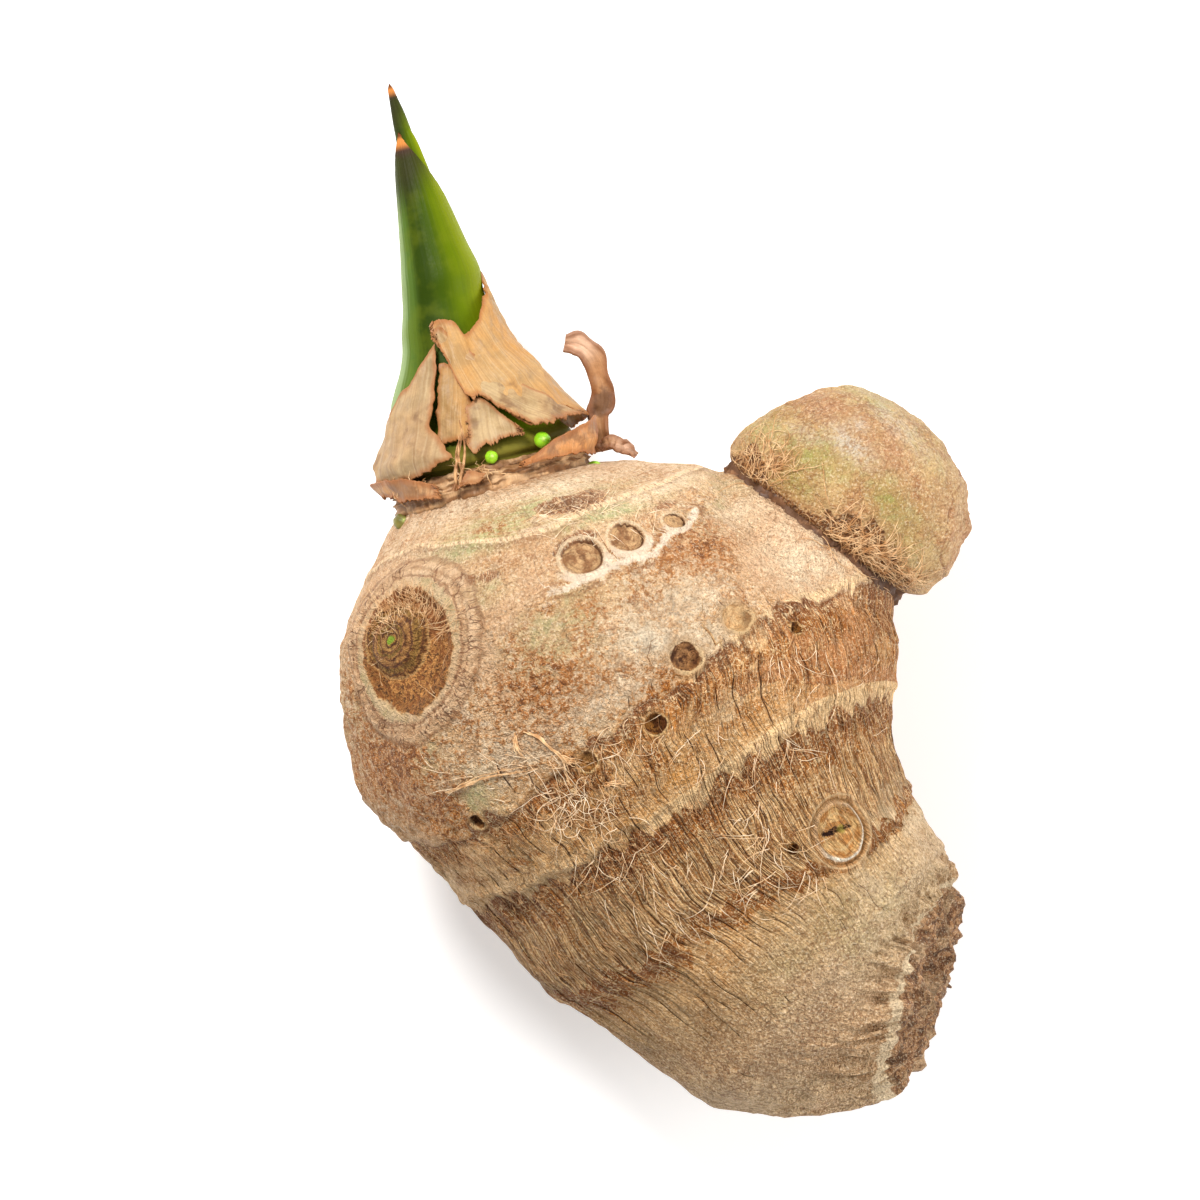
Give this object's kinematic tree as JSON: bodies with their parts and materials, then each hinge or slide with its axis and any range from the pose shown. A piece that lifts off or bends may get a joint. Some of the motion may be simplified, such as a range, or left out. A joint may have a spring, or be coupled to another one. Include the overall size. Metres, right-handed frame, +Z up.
{
  "type": "taro corm",
  "caption": "Ringed brown taro corm lying on its side, with a round daughter cormel on its shoulder and a pointed green shoot in papery leaf scales.",
  "frame": {"origin": "bottom centre of the whole part's bounding box, on the surface the corm lies on", "axes": "+Z up out of the surface the corm lies on; +Y towards the shoot's tip, along the longest extent; +X towards the cormel"},
  "size_m": [0.1074, 0.1753, 0.0819],
  "materials": {
    "corm_skin": "rough fibrous bark-like skin with pale and dark bands",
    "cormel_skin": "thin wrinkled skin with a green tint",
    "leaf_green": "waxy green leaf",
    "scale_papery": "dry papery scale",
    "husk_brown": "dry brown husk",
    "bud_green": "smooth waxy bud"
  },
  "bodies": {
    "root": {"corm": "corm_skin", "cormel": "cormel_skin", "shoot_spear": "leaf_green", "shoot_sheath": "leaf_green", "leaf_base_collar": "husk_brown", "scale_left": "scale_papery", "scale_right": "scale_papery", "scale_inner": "scale_papery", "scale_front": "scale_papery", "collar_lip": "husk_brown", "collar_shield": "husk_brown", "collar_flap": "husk_brown", "curl_tall": "husk_brown", "curl_low": "husk_brown", "side_bud_1": "bud_green", "side_bud_2": "bud_green", "side_bud_3": "bud_green", "side_bud_4": "bud_green"}
  },
  "joints": []
}
